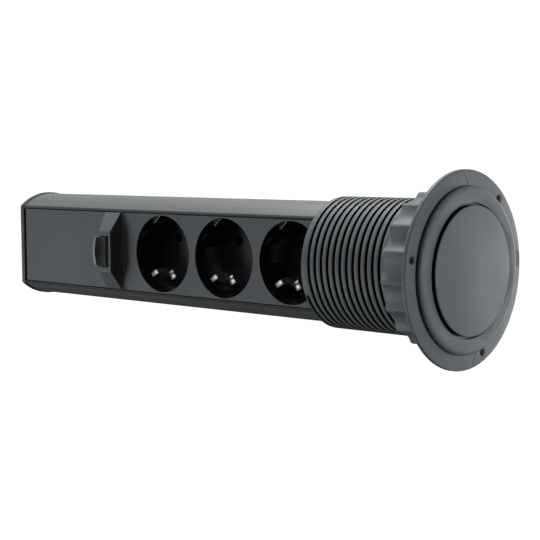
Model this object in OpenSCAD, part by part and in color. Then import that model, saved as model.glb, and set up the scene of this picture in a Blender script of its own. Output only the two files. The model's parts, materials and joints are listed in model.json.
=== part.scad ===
// Pop-up desk socket. A round tower with three earthed sockets in its flat front slides up
// through a flanged, threaded sleeve, which a lobed nut clamps in a round hole in a desk top.
// Frame: +Z up along the tower, origin at the centre of the flange's underside,
// sockets facing -Y. Drawn with the tower down in the desk. All sizes in millimetres.

/* [Desk flange] */
// Outside diameter of the flange
flange_d = 88; // [84:1:110]
// Thickness of the flange
flange_t = 2; // [1.6:0.1:3]
// Chamfer round the flange's upper edge
flange_chamfer = 0.5; // [0.2:0.1:1]
// Distance of the screw holes' centres from the flange's edge
screw_inset = 4.25; // [3.5:0.05:5]
// Diameter of each screw hole
screw_hole_d = 3.8; // [3:0.1:4.2]
// Turn of the screw holes about the axis
screw_turn = 20; // [0:5:120]

/* [Threaded sleeve] */
// Length of the sleeve under the flange
sleeve_len = 66; // [50:1:90]
// Wall between the catch's way in the bore and the bottom of the thread
sleeve_wall = 0.45; // [0.4:0.05:1.5]
// Depth of the thread
thread_depth = 1.05; // [0.6:0.05:1.4]
// Distance from one thread groove to the next
thread_pitch = 3.62; // [3:0.02:5]
// Width of a thread groove at its mouth
groove_mouth = 1.5; // [1:0.1:1.8]
// Width of a thread groove at its floor
groove_floor = 1.0; // [0.6:0.1:1.4]
// Plain land at the sleeve's lower end
sleeve_land = 3.75; // [2:0.05:8]

/* [Clamp nut] */
// Wall of the nut under the hollows
nut_wall = 1.2; // [1:0.1:3]
// Depth of the hollows between the lobes
nut_hollow = 2.3; // [1:0.1:3]
// Radius of each hollow
nut_hollow_r = 6; // [4:0.5:9]
// Number of lobes round the nut
nut_lobes = 17; // [10:1:20]
// Height of the nut
nut_h = 13.5; // [8:0.5:20]
// Gap between the flange and the nut as drawn
nut_drop = 5; // [3:0.5:15]

/* [Tower] */
// Diameter of the tower
tower_d = 57.2; // [55:0.2:62]
// Wall of the tower's extruded shell
tower_wall = 1.8; // [1.4:0.1:2.2]
// Shell edge that shows beside the front panels
shell_edge = 0.54; // [0.4:0.02:0.8]
// Wall of the shell outside a panel's tongue
groove_wall = 0.6; // [0.4:0.05:0.8]
// Thickness of the front panels
panel_t = 2; // [1.8:0.1:2.4]
// Gap beside a front panel, where its dark seam shows
panel_gap = 0.4; // [0.1:0.05:0.6]
// Outside radius of a screw channel in the shell
channel_r = 3; // [2.6:0.1:3.4]
// Diameter of the hole in a screw channel
channel_d = 2.8; // [2.4:0.1:3]

/* [Sockets] */
// Distance from the cap's seat down to the uppermost socket
first_socket = 85.1; // [76:0.1:95]
// Diameter of a plug well
well_d = 39.5; // [39:0.1:40.5]
// Depth of a plug well
well_depth = 17.5; // [16:0.1:18.5]
// Wall of the moulded insert round a well
insert_wall = 0.75; // [0.6:0.05:1]
// Thickness of the insert's floor
insert_floor = 2.5; // [2:0.1:3]
// Gap between one insert and the next
insert_gap = 3; // [1:0.5:10]
// Turn of the pin line from straight across the tower
socket_turn = 40; // [20:5:50]
// Distance between the two pin holes
pin_spacing = 19; // [18:0.1:20]
// Diameter of a pin hole
pin_hole_d = 5.4; // [5:0.1:5.6]
// Distance of a guide ledge's flat from the well's centre
ledge_flat = 17.5; // [16.4:0.1:18]
// Depth of a guide ledge below the front face
ledge_depth = 3; // [2.5:0.5:6]
// Width of the notch through a guide ledge
ledge_notch = 6; // [4:0.5:8]

/* [Contacts] */
// Thickness of the contact metal
strip_t = 0.8; // [0.6:0.1:1]
// Width of an earth strap and of its clips
strap_w = 5; // [4:0.5:6]
// Distance of an earth clip's foot from the well's centre
clip_foot = 16.8; // [16.4:0.1:17.2]
// Height of an earth clip above the well's floor
clip_h = 11.5; // [7:0.5:13]
// Outward lean of an earth clip's end
clip_lean = 2.3; // [1:0.1:2.4]
// Width of a live or neutral bar
bar_w = 5; // [4:0.5:5.5]
// Length of a pin contact behind the floor
contact_len = 7.8; // [6:0.2:10]
// Bore of a pin contact
contact_bore = 4.8; // [4.6:0.1:5]
// Thickness of the carrier plate behind the contacts
carrier_t = 2; // [1.6:0.1:3]
// Radius of a carrier post
post_r = 2.4; // [2:0.1:2.6]
// Width of the terminal block
block_w = 26; // [24:1:30]
// Height of the terminal block
block_h = 20; // [18:1:26]

/* [Latch] */
// Blank stretch of the socket panel under the lowest insert
panel_tail = 7.1; // [3:0.1:20]
// Gap between the panels' seam and the catch housing
housing_drop = 4.15; // [3:0.05:8]
// Height of the catch housing along the tower
housing_h = 12.4; // [11:0.1:16]
// Cut back of the housing's lower end at its outer face
housing_slope = 2.7; // [1:0.1:4]
// Width of the housing's outer face
housing_w = 21.4; // [19.6:0.2:23]
// Wall of the housing
housing_wall = 1.8; // [1.4:0.1:2.2]
// Width of the push button
button_w = 15.8; // [12:0.2:17]
// Reach of the button below the housing's outer face
button_below = 1.4; // [0.8:0.1:2.4]
// Reach of the catch lip past the sleeve's bore
lip_catch = 0.45; // [0.3:0.05:0.8]
// Height of the catch lip's outer edge
lip_edge = 1.1; // [0.5:0.1:1.4]
// Depth of the thumb hollow in the button
thumb_hollow = 1.4; // [0.6:0.1:1.8]
// Depth of the pad's upper edge below the housing's outer face
pad_sink = 1.3; // [0.2:0.1:1.5]
// Radius of the thumb hollow across the button
thumb_r = 22; // [12:1:30]
// Radius of the button's lower corners
button_round = 2.2; // [1:0.1:3]
// Travel of the button
button_travel = 2.5; // [1.5:0.1:2.8]
// Lift left to the stop once the lip has cleared the flange
catch_play = 5; // [1:0.05:8]
// Wire of the button's spring
spring_wire = 0.6; // [0.5:0.05:0.7]
// Mean diameter of the spring
spring_d = 5.2; // [4.6:0.1:5.8]
// Turns of the spring
spring_turns = 5; // [4:1:6]

/* [Cap] */
// Width of the flange that shows round the pull ring
flange_rim = 7; // [6.5:0.1:9]
// Width of the pull ring outside the lid's gap
ring_w = 7.4; // [6:0.1:9]
// Height of the pull ring above its seat
ring_h = 2.9; // [2.6:0.1:4]
// Radius of the ring's outer edge
ring_round = 1.5; // [0.8:0.1:1.5]
// Finger gap under the ring's edge
finger_gap = 1.4; // [1:0.1:1.6]
// Depth of the finger gap
finger_reach = 2.7; // [2:0.1:4]
// Width of the dark gap round the lid
lid_gap = 1; // [0.6:0.1:1.4]
// Depth of the dark gap below the lid's seat
lid_trench = 0.6; // [0.3:0.1:1]
// Thickness of the lid disc
lid_t = 2.8; // [1.8:0.1:3.6]
// Thickness of the cap's plate under the lid
cap_plate = 1.4; // [1.3:0.1:2]
// Depth of the caps' spigots in the shell
spigot_h = 6; // [4:0.5:10]

/* [End cap] */
// Thickness of the end cap's plate
end_t = 3.05; // [2.8:0.05:8]
// Gap between the lower panel and the end cap
foot_gap = 1.8; // [0.4:0.1:3]
// Reach of the end cap past the sleeve's bore, which stops the lift
end_catch = 0.35; // [0.3:0.05:0.6]
// Distance of the cable inlet behind the axis
inlet_y = 4; // [0:1:8]
// Bore of the cable inlet bush
inlet_d = 8.4; // [6:0.2:10]
// Wall of the inlet bush
bush_wall = 2.2; // [1.8:0.1:3]
// Width and thickness of the bush's rims
bush_rim = 2; // [1:0.1:3]

/* [Screws] */
// Radius of a screw's head
head_r = 2.8; // [2.4:0.1:3]
// Height of a screw's head
head_h = 1.4; // [1:0.1:2]
// Length of the cap's screws
cap_screw_len = 12; // [8:1:20]
// Hold of the end cap's screws in the shell
end_screw_hold = 8; // [6:1:14]

/* [Fits] */
// Radial gap between the tower and the sleeve
tower_gap = 0.3; // [0.25:0.01:0.35]
// Radial gap between the nut and the thread's crests
nut_gap = 0.08; // [0.06:0.01:0.1]
// Gap between the catch lip and its way in the bore
lip_gap = 0.15; // [0.1:0.01:0.3]
// Gap between an insert and the shell
insert_room = 0.17; // [0.1:0.01:0.4]
// Gap round pieces that are fitted together
fit = 0.1; // [0.05:0.01:0.15]
// Gap round a screw or peg in its hole
screw_fit = 0.05; // [0.03:0.01:0.1]
// Gap round the push button
button_gap = 0.3; // [0.25:0.01:0.4]

/* [Hidden] */
$fn = 96;
EPS = 0.01;
FAR = 60;

// Radii of the sliding pair
tower_r = tower_d / 2;
inner_r = tower_r - tower_wall;
bore_r = tower_r + tower_gap;
lip_r = bore_r + lip_catch;
lip_way_r = lip_r + lip_gap;
root_r = lip_way_r + sleeve_wall;
crest_r = root_r + thread_depth;
nut_bore_r = crest_r + nut_gap;
nut_r = nut_bore_r + nut_wall + nut_hollow;

// Front of the tower: as far out as the round inserts fit in the shell
well_r = well_d / 2;
insert_r = well_r + insert_wall;
panel_back = -sqrt(pow(inner_r - insert_room, 2) - insert_r * insert_r);
face_y = panel_back - panel_t;
tongue_t = panel_t / 2;
tongue_front = panel_back - tongue_t;
panel_half = sqrt(tower_r * tower_r - face_y * face_y) - shell_edge;
groove_half = sqrt(tower_r * tower_r - pow(tongue_front - fit, 2)) - groove_wall;
tongue_half = groove_half - fit;

// Screw channels of the shell, sunk a little into its wall
channel_sink = 0.8;
channel_at = inner_r - channel_r + channel_sink;
CHANNEL_TURNS = [30, 90, 150];
screw_r = channel_d / 2 - screw_fit;

// Heights on the axis, from the flange down
seat_z = flange_t;
socket_pitch = 2 * insert_r + insert_gap;
WELL_Z = [for (k = [0:2]) seat_z - first_socket - k * socket_pitch];
seam_z = WELL_Z[2] - insert_r - panel_tail;

// Catch housing and button
housing_top = seam_z - housing_drop;
housing_bot = housing_top - housing_h;
housing_out_bot = housing_bot + housing_slope;
housing_half = housing_w / 2;
housing_y = -sqrt(tower_r * tower_r - housing_half * housing_half);
pocket_top = housing_top - housing_wall;
pocket_bot = housing_out_bot + housing_wall / 2;
pocket_y = housing_y + housing_wall;
pocket_half = housing_half - housing_wall / 4;
button_half = button_w / 2;
mouth_half = button_half + button_gap;
button_top = pocket_top - button_gap;
button_bot = housing_out_bot - button_below;
pad_y = housing_y + pad_sink;
shoulder_bot = pocket_bot + button_gap;
shoulder_y = pocket_y + button_gap;
shoulder_back = shoulder_y + 2;
shoulder_half = pocket_half - button_gap;
notch_y = pocket_y + button_travel + button_gap;
spring_z = (shoulder_bot + button_top) / 2;
boss_r = spring_d / 2 - spring_wire;
boss_len = 1.5;

// Bracket behind the button's spring
bracket_y = panel_back + 2;
bracket_t = 1.5;
bracket_leg = 2.4;
bracket_half = pocket_half + bracket_leg;
bracket_screw_x = pocket_half + bracket_leg / 2;
bracket_screw_r = 0.75;
bracket_head_r = 1.5;
bracket_head_h = 1;
bracket_bite = 1.2;

// Foot of the tower: the end cap meets the sleeve just after the lip clears the flange
tower_bot = button_bot - sleeve_len - flange_t - catch_play;
tower_len = seat_z - tower_bot;
end_r = bore_r + end_catch;
end_edge = 0.6;
foot_out = panel_half - panel_gap;
foot_in = foot_out - 4;
head_sink = 0.6;
bush_r = inlet_d / 2 + bush_wall;

// Contacts behind the wells
floor_y = face_y + well_depth;
floor_back = floor_y + insert_floor;
bar_y = floor_back + contact_len;
carrier_y = bar_y + strip_t;
contact_r = contact_bore / 2 + strip_t;
post_reach = insert_r - post_r - 1.6;
post_hole_r = post_r / 2;
post_screw_bite = 5;
pin_x = pin_spacing / 2 * cos(socket_turn);
pin_z = pin_spacing / 2 * sin(socket_turn);
earth_bar_y = floor_back + strip_t;

// Terminal block under the contacts
block_top = seam_z - 18;
block_bot = block_top - block_h;
block_front = floor_y - 0.5;
bar_end = block_top - 0.6 * block_h;
terminal_z = block_top - 4;
terminal_r = 2.2;
terminal_slot = 0.8;
core_r = 1.6;

// Cap and lid
ring_r = flange_d / 2 - flange_rim;
recess_r = ring_r - ring_w;
lid_r = recess_r - lid_gap;
lid_seat = seat_z + cap_plate;
lid_edge = 0.3;
seat_r = ring_r - finger_reach;
peg_r = 1.5;
peg_at = lid_r / 2;
PEG_TURNS = [30, 150, 270];

// Coil spring behind the button
SPRING_SIDES = 6;
SPRING_RINGS = 8;
spring_rest = 0.05;
spring_a = shoulder_back + spring_wire / 2 + spring_rest;
spring_b = bracket_y - spring_wire / 2 - spring_rest;

PLASTIC = [0.38, 0.39, 0.40];
PANEL = [0.30, 0.31, 0.33];
BLACK = [0.06, 0.06, 0.07];
METAL = [0.80, 0.79, 0.76];
BRASS = [0.78, 0.62, 0.32];

// Box between two corners
module block(a, b) {
    translate(a) cube(b - a);
}

// Round outline with a flat front at y
module d_outline(r, y) {
    difference() {
        circle(r);
        translate([-FAR, y - 2 * FAR]) square(2 * FAR);
    }
}

// Anything drawn along +Z, laid along +Y from the point [x, y, z]
module along_y(x, y, z) {
    translate([x, y, z]) rotate([-90, 0, 0]) children();
}

// A section drawn in the YZ plane, stretched across X
module across_x(half) {
    rotate([90, 0, 90]) translate([0, 0, -half]) linear_extrude(2 * half) children();
}

// Places of the shell's screw channels
module at_channels() {
    for (turn = CHANNEL_TURNS)
        rotate([0, 0, turn]) translate([channel_at, 0, 0]) children();
}

// Frame of one well, with its pin line along X
module in_well(k) {
    translate([0, 0, WELL_Z[k]]) rotate([0, -socket_turn, 0]) children();
}

// Section of the flange and the grooved sleeve
module sleeve_section() {
    rim_r = flange_d / 2;
    first = -sleeve_len + sleeve_land + groove_mouth / 2;
    difference() {
        union() {
            polygon([[bore_r, 0], [rim_r, 0], [rim_r, flange_t - flange_chamfer],
                [rim_r - flange_chamfer, flange_t], [bore_r, flange_t]]);
            translate([bore_r, -sleeve_len]) square([crest_r - bore_r, sleeve_len]);
        }
        for (z = [first : thread_pitch : -thread_pitch / 2])
            polygon([[root_r, z - groove_floor / 2], [crest_r + EPS, z - groove_mouth / 2],
                [crest_r + EPS, z + groove_mouth / 2], [root_r, z + groove_floor / 2]]);
    }
}

module flange_sleeve() {
    color(PLASTIC) difference() {
        rotate_extrude() sleeve_section();
        for (turn = [0, 120, 240])
            rotate([0, 0, screw_turn + turn]) translate([flange_d / 2 - screw_inset, 0, -1])
                cylinder(h = flange_t + 2, d = screw_hole_d);
        // shallow way up the bore for the catch lip, closed at its top by the flange
        intersection() {
            translate([0, 0, -sleeve_len - 1]) cylinder(h = sleeve_len + 1, r = lip_way_r);
            block([-mouth_half, -FAR, -sleeve_len - 1], [mouth_half, 0, 0]);
        }
    }
}

module clamp_nut() {
    color(PLASTIC) translate([0, 0, -nut_drop - nut_h]) linear_extrude(nut_h) difference() {
        circle(nut_r);
        circle(nut_bore_r);
        for (k = [0:nut_lobes - 1])
            rotate(-90 + 360 / nut_lobes * k) translate([nut_r - nut_hollow + nut_hollow_r, 0])
                circle(nut_hollow_r);
    }
}

// Section of the tower's shell, open at the front between two grooves
module shell_section() {
    difference() {
        d_outline(tower_r, face_y);
        difference() {
            circle(inner_r);
            at_channels() circle(channel_r);
        }
        translate([-panel_half, face_y - 1]) square([2 * panel_half, panel_t + 1 + fit]);
        translate([-groove_half, tongue_front - fit]) square([2 * groove_half, tongue_t + 2 * fit]);
        at_channels() circle(d = channel_d);
    }
}

module tower_profile() {
    color(PLASTIC) translate([0, 0, tower_bot]) linear_extrude(tower_len) shell_section();
}

// Front panel with a tongue along each side, from z = a up to z = b
module panel_strip(a, b) {
    front_half = panel_half - panel_gap;
    translate([0, 0, a]) linear_extrude(b - a) union() {
        translate([-front_half, face_y]) square([2 * front_half, panel_t]);
        translate([-tongue_half, tongue_front]) square([2 * tongue_half, tongue_t]);
    }
}

module socket_panel() {
    color(PANEL) difference() {
        panel_strip(seam_z + fit, seat_z);
        for (z = WELL_Z)
            along_y(0, face_y - 1, z) cylinder(h = panel_t + 2, r = well_r);
    }
}

// Catch housing, which fills the round of the sleeve's bore in front of the flat panel
module housing_body() {
    foot_half = panel_half - panel_gap;
    intersection() {
        translate([0, 0, housing_bot]) linear_extrude(housing_h)
            polygon([[-foot_half, face_y], [-housing_half, housing_y],
                [housing_half, housing_y], [foot_half, face_y]]);
        across_x(FAR)
            polygon([[face_y, housing_top], [housing_y, housing_top],
                [housing_y, housing_out_bot], [face_y, housing_bot]]);
    }
}

module latch_panel() {
    color(PANEL) difference() {
        union() {
            panel_strip(tower_bot + foot_gap, seam_z);
            housing_body();
        }
        // pocket for the button's shoulder, open at the panel's back
        block([-pocket_half, pocket_y, pocket_bot], [pocket_half, panel_back + 1, pocket_top]);
        // mouth for the button, open in front and below
        block([-mouth_half, housing_y - 1, pocket_bot], [mouth_half, pocket_y + EPS, pocket_top]);
        block([-mouth_half, housing_y - 1, housing_bot - 1], [mouth_half, notch_y, pocket_bot + EPS]);
        bracket_screw_places() translate([0, 0, -bracket_bite])
            cylinder(h = bracket_bite + 1, r = bracket_screw_r + screw_fit);
    }
}

// Moulded insert: plug well with pin holes, clip slots, guide ledges and carrier posts
module socket_insert(k) {
    slot_half = strip_t / 2 + fit;
    slot_w = strap_w / 2 + fit;
    color(BLACK) in_well(k) difference() {
        union() {
            difference() {
                along_y(0, panel_back, 0) cylinder(h = floor_back - panel_back, r = insert_r);
                along_y(0, panel_back - 1, 0) cylinder(h = floor_y - panel_back + 1, r = well_r);
            }
            guide_ledges();
            for (side = [-1, 1])
                along_y(side * post_reach, floor_back - EPS, 0)
                    cylinder(h = carrier_y - floor_back + EPS, r = post_r);
        }
        for (side = [-1, 1]) {
            along_y(side * pin_spacing / 2, floor_y - 1, 0) cylinder(h = insert_floor + 2, d = pin_hole_d);
            along_y(side * post_reach, carrier_y - post_screw_bite - 1, 0)
                cylinder(h = post_screw_bite + 2, r = post_hole_r);
            block([-slot_w, floor_y - 1, side * clip_foot - slot_half],
                [slot_w, floor_back + 1, side * clip_foot + slot_half]);
        }
    }
}

// Ledges at both ends of the pin line, each with a notch through its middle
module guide_ledges() {
    intersection() {
        along_y(0, panel_back, 0) cylinder(h = floor_back - panel_back, r = well_r + EPS);
        difference() {
            block([-FAR, face_y + ledge_depth, -FAR], [FAR, floor_y + EPS, FAR]);
            block([-ledge_flat, -FAR, -FAR], [ledge_flat, FAR, FAR]);
            block([-FAR, -FAR, -ledge_notch / 2], [FAR, FAR, ledge_notch / 2]);
        }
    }
}

// Section of one earth clip: upright at its foot, then leaning out to the well's wall
module clip_section() {
    middle = [[floor_back + strip_t, 0], [floor_y - 0.4 * clip_h, 0],
        [floor_y - 0.75 * clip_h, 0.3 * clip_lean], [floor_y - clip_h, clip_lean]];
    last = len(middle) - 1;
    polygon(concat([for (p = middle) p + [0, clip_foot - strip_t / 2]],
        [for (i = [last:-1:0]) middle[i] + [0, clip_foot + strip_t / 2]]));
}

// Earth strap of one socket: a strip behind the floor with a sprung clip at each end
module earth_strap(k) {
    end = clip_foot + strip_t / 2;
    color(METAL) in_well(k) {
        block([-strap_w / 2, floor_back, -end], [strap_w / 2, floor_back + strip_t, end]);
        for (side = [0, 1])
            mirror([0, 0, side]) across_x(strap_w / 2) clip_section();
    }
}

module earth_busbar() {
    color(METAL) block([-bar_w / 2, earth_bar_y, bar_end],
        [bar_w / 2, earth_bar_y + strip_t, WELL_Z[0] + bar_w]);
}

// Bar with one slotted tube contact behind each pin hole on its side
module pin_busbar(side) {
    x = side * pin_x;
    contact_zs = [for (z = WELL_Z) z + side * pin_z];
    color(BRASS) difference() {
        union() {
            block([x - bar_w / 2, bar_y, bar_end], [x + bar_w / 2, carrier_y, contact_zs[0] + bar_w]);
            for (z = contact_zs)
                along_y(x, floor_back + fit, z) cylinder(h = contact_len - fit + EPS, r = contact_r);
        }
        for (z = contact_zs) {
            along_y(x, floor_back - 1, z) cylinder(h = contact_len + 1, d = contact_bore);
            block([x - contact_r - 1, floor_back - 1, z - strip_t / 2],
                [x + contact_r + 1, bar_y - strip_t, z + strip_t / 2]);
        }
    }
}

// Places of the carrier's screws, on the inserts' posts
module carrier_posts() {
    for (k = [0:2], side = [-1, 1])
        in_well(k) along_y(side * post_reach, carrier_y, 0) children();
}

module contact_carrier() {
    half = post_reach * cos(socket_turn) + post_r;
    top = WELL_Z[0] + post_reach * sin(socket_turn) + post_r;
    color(BLACK) difference() {
        block([-half, carrier_y, block_bot], [half, carrier_y + carrier_t, top]);
        carrier_posts() translate([0, 0, -1]) cylinder(h = carrier_t + 2, r = post_hole_r);
    }
}

module carrier_screws() {
    color(METAL) carrier_posts() {
        translate([0, 0, carrier_t]) cylinder(h = head_h, r = post_r);
        translate([0, 0, -post_screw_bite])
            cylinder(h = post_screw_bite + carrier_t + EPS, r = post_hole_r - screw_fit);
    }
}

// Front of the bar that a terminal at x clamps on
function terminal_bar(x) = x == 0 ? earth_bar_y : bar_y;

// Insulating block in which the three bars meet the supply's cores
module terminal_block() {
    slot_half = bar_w / 2 + fit;
    color(BLACK) difference() {
        block([-block_w / 2, block_front, block_bot], [block_w / 2, carrier_y, block_top]);
        for (x = [-pin_x, 0, pin_x]) {
            block([x - slot_half, terminal_bar(x) - fit, bar_end - fit],
                [x + slot_half, terminal_bar(x) + strip_t + fit, block_top + 1]);
            along_y(x, block_front - 1, terminal_z)
                cylinder(h = terminal_bar(x) - block_front + 1, r = terminal_r + fit);
            translate([x, terminal_bar(x) - core_r, block_bot - 1])
                cylinder(h = terminal_z - block_bot + 1, r = core_r);
        }
    }
}

module terminal_screws() {
    color(METAL) for (x = [-pin_x, 0, pin_x])
        along_y(x, block_front, terminal_z) difference() {
            cylinder(h = terminal_bar(x) - block_front, r = terminal_r);
            block([-FAR, -terminal_slot / 2, -1], [FAR, terminal_slot / 2, terminal_slot]);
        }
}

// D-shaped rim that locates a cap in the shell, upward from z = 0
module spigot() {
    outer = inner_r - fit;
    front = panel_back + 2 * fit;
    linear_extrude(spigot_h) difference() {
        d_outline(outer, front);
        d_outline(outer - tower_wall, front + tower_wall);
        at_channels() circle(channel_r + fit);
    }
}

// Section of the cap: seat on the flange, pull ring with a finger gap, recess for the lid
module cap_section() {
    difference() {
        union() {
            square([seat_r, cap_plate]);
            translate([recess_r, 0]) square([seat_r - recess_r, ring_h]);
            translate([recess_r, finger_gap])
                square([ring_r - ring_round - recess_r, ring_h - finger_gap]);
            intersection() {
                translate([ring_r - ring_round, ring_h - ring_round]) circle(ring_round);
                translate([recess_r, finger_gap]) square([ring_r - recess_r, ring_h]);
            }
        }
        translate([lid_r, cap_plate - lid_trench]) square([lid_gap, ring_h]);
    }
}

module cap_ring() {
    color(PLASTIC) difference() {
        union() {
            translate([0, 0, seat_z]) rotate_extrude() cap_section();
            translate([0, 0, seat_z - spigot_h + EPS]) spigot();
        }
        at_channels() {
            translate([0, 0, seat_z]) cylinder(h = cap_plate, r1 = screw_r + fit, r2 = head_r + fit);
            translate([0, 0, seat_z - 1]) cylinder(h = cap_plate + 1, r = screw_r + fit);
        }
        pegs() translate([0, 0, -1]) cylinder(h = cap_plate + 2, r = peg_r + screw_fit);
    }
}

// Places of the lid's pegs, at the cap's seat
module pegs() {
    for (turn = PEG_TURNS)
        rotate([0, 0, turn]) translate([peg_at, 0, seat_z]) children();
}

module lid_disc() {
    color(PLASTIC) union() {
        translate([0, 0, lid_seat]) rotate_extrude()
            polygon([[0, 0], [lid_r, 0], [lid_r, lid_t - lid_edge], [lid_r - lid_edge, lid_t], [0, lid_t]]);
        pegs() cylinder(h = cap_plate + EPS, r = peg_r);
    }
}

module cap_screws() {
    color(METAL) at_channels() {
        translate([0, 0, seat_z]) cylinder(h = cap_plate, r1 = screw_r, r2 = head_r);
        translate([0, 0, lid_seat - cap_screw_len]) cylinder(h = cap_screw_len, r = screw_r);
    }
}

// End cap with its stop lip, spigot and inlet
module end_cap() {
    foot = tower_bot - end_t;
    color(PLASTIC) difference() {
        union() {
            intersection() {
                translate([0, 0, foot]) union() {
                    cylinder(h = end_edge, r1 = end_r - end_edge, r2 = end_r);
                    translate([0, 0, end_edge]) cylinder(h = end_t - end_edge, r = end_r);
                }
                block([-FAR, face_y, foot - 1], [FAR, FAR, tower_bot + 1]);
            }
            translate([0, 0, tower_bot - EPS]) spigot();
            // feet on which the lower panel stands
            for (side = [-1, 1])
                block([side > 0 ? foot_in : -foot_out, tongue_front + fit, tower_bot - EPS],
                    [side > 0 ? foot_out : -foot_in, panel_back, tower_bot + foot_gap - fit / 2]);
        }
        translate([0, inlet_y, foot - 1]) cylinder(h = end_t + 2, r = bush_r + screw_fit);
        at_channels() translate([0, 0, foot - 1]) {
            cylinder(h = end_t + 2, r = screw_r + fit);
            cylinder(h = 1 + head_sink + head_h, r = head_r + fit);
        }
    }
}

module end_cap_screws() {
    color(METAL) at_channels() translate([0, 0, tower_bot - end_t + head_sink]) {
        cylinder(h = head_h, r = head_r);
        cylinder(h = end_t - head_sink + end_screw_hold, r = screw_r);
    }
}

module inlet_bush() {
    color(BLACK) translate([0, inlet_y, tower_bot - end_t]) difference() {
        union() {
            translate([0, 0, -bush_rim]) cylinder(h = bush_rim, r = bush_r + bush_rim);
            translate([0, 0, -EPS]) cylinder(h = end_t + 2 * EPS, r = bush_r);
            translate([0, 0, end_t]) cylinder(h = bush_rim, r = bush_r + bush_rim / 2);
        }
        translate([0, 0, -bush_rim - 1]) cylinder(h = end_t + 2 * bush_rim + 2, d = inlet_d);
    }
}

// Places of the bracket's screws, on the lower panel's back
module bracket_screw_places() {
    for (side = [-1, 1])
        along_y(side * bracket_screw_x, panel_back, spring_z) children();
}

// Bracket behind the lower panel that takes the button's spring
module spring_plate() {
    color(PLASTIC) difference() {
        block([-bracket_half, panel_back, pocket_bot], [bracket_half, bracket_y + bracket_t, pocket_top]);
        block([-pocket_half, panel_back - 1, pocket_bot - 1], [pocket_half, bracket_y, pocket_top + 1]);
        bracket_screw_places() translate([0, 0, -1]) cylinder(h = FAR, r = bracket_screw_r + screw_fit);
    }
}

module spring_plate_screws() {
    head_at = bracket_y + bracket_t - panel_back;
    color(METAL) bracket_screw_places() {
        translate([0, 0, -bracket_bite]) cylinder(h = bracket_bite + head_at + EPS, r = bracket_screw_r);
        translate([0, 0, head_at]) cylinder(h = bracket_head_h, r = bracket_head_r);
    }
}

// Outline of the button's pad seen from the front, with round lower corners
module pad_outline() {
    r = button_round;
    translate([-button_half, button_bot + r]) square([button_w, button_top - button_bot - r]);
    translate([-button_half + r, button_bot]) square([button_w - 2 * r, 2 * r]);
    for (side = [-1, 1])
        translate([side * (button_half - r), button_bot + r]) circle(r);
}

// Thumb hollow, curved both ways: a round revolved about a line in front of the pad's face
module thumb_cutter() {
    rise_y = lip_r + pad_y;
    rise_z = button_top - button_bot - lip_edge;
    run = sqrt(rise_y * rise_y + rise_z * rise_z);
    round_r = (run * run / 4 + thumb_hollow * thumb_hollow) / (2 * thumb_hollow);
    lean = atan2(rise_y, rise_z);
    translate([0, pad_y - rise_y / 2, button_top - rise_z / 2]) rotate([-lean, 0, 0])
        translate([0, -(thumb_r - thumb_hollow), 0]) rotate_extrude() intersection() {
            translate([thumb_r - round_r, 0]) circle(round_r);
            translate([0, -FAR]) square([FAR, 2 * FAR]);
        }
}

// Push button: thumb pad with a catch lip at its foot, shoulder and spring boss
module latch_button() {
    color(PANEL) union() {
        difference() {
            intersection() {
                translate([0, pocket_y, 0]) rotate([90, 0, 0]) linear_extrude(FAR) pad_outline();
                translate([0, 0, button_bot - 1]) cylinder(h = FAR, r = lip_r);
                across_x(FAR)
                    polygon([[pad_y, button_top], [-lip_r, button_bot + lip_edge], [-lip_r, button_bot],
                        [pocket_y, button_bot], [pocket_y, button_top]]);
            }
            thumb_cutter();
        }
        block([-button_half, pocket_y - EPS, shoulder_bot], [button_half, shoulder_y + EPS, button_top]);
        block([-shoulder_half, shoulder_y, shoulder_bot], [shoulder_half, shoulder_back, button_top]);
        along_y(0, shoulder_back - EPS, spring_z) cylinder(h = boss_len, r = boss_r);
    }
}

// Middle of the spring's wire at step i along its helix
function spring_point(i) =
    let (turn = 360 * i / SPRING_RINGS, rise = (spring_b - spring_a) / (spring_turns * SPRING_RINGS))
    [spring_d / 2 * cos(turn), spring_a + rise * i, spring_z + spring_d / 2 * sin(turn)];

// Ring of points round the wire at step i
function spring_ring(i) =
    let (turn = 360 * i / SPRING_RINGS, r = spring_wire / 2)
    [for (s = [0:SPRING_SIDES - 1])
        let (a = 360 * s / SPRING_SIDES)
        spring_point(i) + [r * cos(a) * cos(turn), r * sin(a), r * cos(a) * sin(turn)]];

module latch_spring() {
    n = spring_turns * SPRING_RINGS;
    points = [for (i = [0:n]) each spring_ring(i)];
    sides = [for (i = [0:n - 1], s = [0:SPRING_SIDES - 1])
        let (a = i * SPRING_SIDES + s, b = i * SPRING_SIDES + (s + 1) % SPRING_SIDES)
        each [[a, b, b + SPRING_SIDES], [a, b + SPRING_SIDES, a + SPRING_SIDES]]];
    first = [for (s = [1:SPRING_SIDES - 2]) [0, s + 1, s]];
    last = [for (s = [1:SPRING_SIDES - 2]) [for (v = [0, s, s + 1]) n * SPRING_SIDES + v]];
    echo(spring_gap = (spring_b - spring_a) / spring_turns - spring_wire);
    color(METAL) polyhedron(points = points, faces = concat(sides, first, last), convexity = 8);
}

flange_sleeve();
clamp_nut();
tower_profile();
socket_panel();
latch_panel();
socket_insert(0);  // socket_insert_1
socket_insert(1);  // socket_insert_2
socket_insert(2);  // socket_insert_3
earth_strap(0);  // earth_strap_1
earth_strap(1);  // earth_strap_2
earth_strap(2);  // earth_strap_3
earth_busbar();
pin_busbar(-1);  // live_busbar
pin_busbar(1);  // neutral_busbar
contact_carrier();
carrier_screws();
terminal_block();
terminal_screws();
cap_ring();
lid_disc();
cap_screws();
end_cap();
end_cap_screws();
inlet_bush();
spring_plate();
spring_plate_screws();
latch_button();
latch_spring();
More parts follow.
